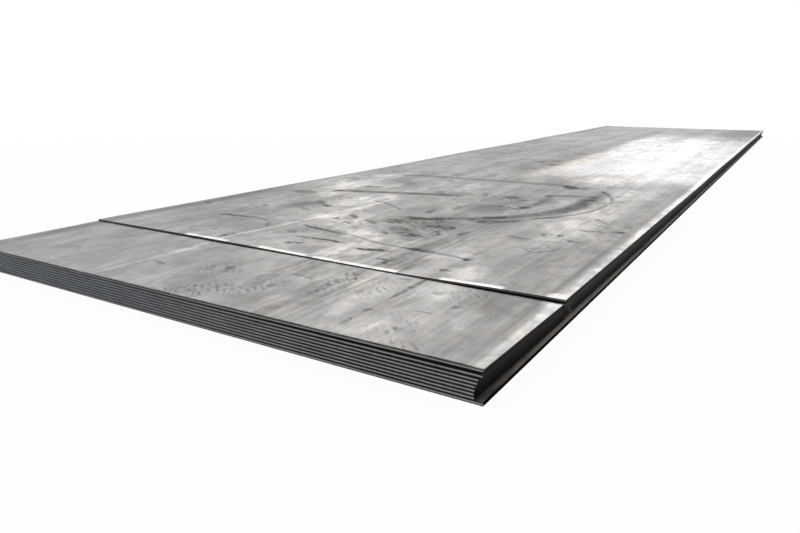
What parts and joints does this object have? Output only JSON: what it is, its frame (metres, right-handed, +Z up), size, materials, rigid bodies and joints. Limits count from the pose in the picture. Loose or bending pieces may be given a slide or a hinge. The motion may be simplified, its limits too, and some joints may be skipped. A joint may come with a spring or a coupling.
{
  "type": "stack of steel plates",
  "caption": "Flat stack of hot-rolled steel plates: a short pack and a long pack end to end on one long base plate, tops level, with a narrow gap between them.",
  "frame": {"origin": "centre of the stack's bounding box, on its underside", "axes": "+X across the stack to the right, +Y along it from the short pack to the far end of the long pack, +Z up"},
  "size_m": [1.52, 6.468, 0.065],
  "materials": {
    "mill_scale_steel": "hot-rolled mill scale, satin grey with scratches and faint brown dust; bright sheared lands on the edges",
    "dusty_mill_scale": "hot-rolled mill scale under a film of brown dust, dull"
  },
  "bodies": {
    "root": {"base_plate": "dusty_mill_scale", "short_plate_1": "mill_scale_steel", "short_plate_2": "mill_scale_steel", "short_plate_3": "mill_scale_steel", "short_plate_4": "mill_scale_steel", "short_plate_5": "mill_scale_steel", "short_plate_6": "mill_scale_steel", "short_plate_7": "mill_scale_steel", "short_plate_8": "mill_scale_steel", "long_plate_1": "mill_scale_steel", "long_plate_2": "mill_scale_steel", "long_plate_3": "mill_scale_steel", "long_plate_4": "mill_scale_steel", "long_plate_5": "mill_scale_steel", "long_plate_6": "mill_scale_steel", "long_plate_7": "mill_scale_steel", "long_plate_8": "mill_scale_steel"}
  },
  "joints": []
}
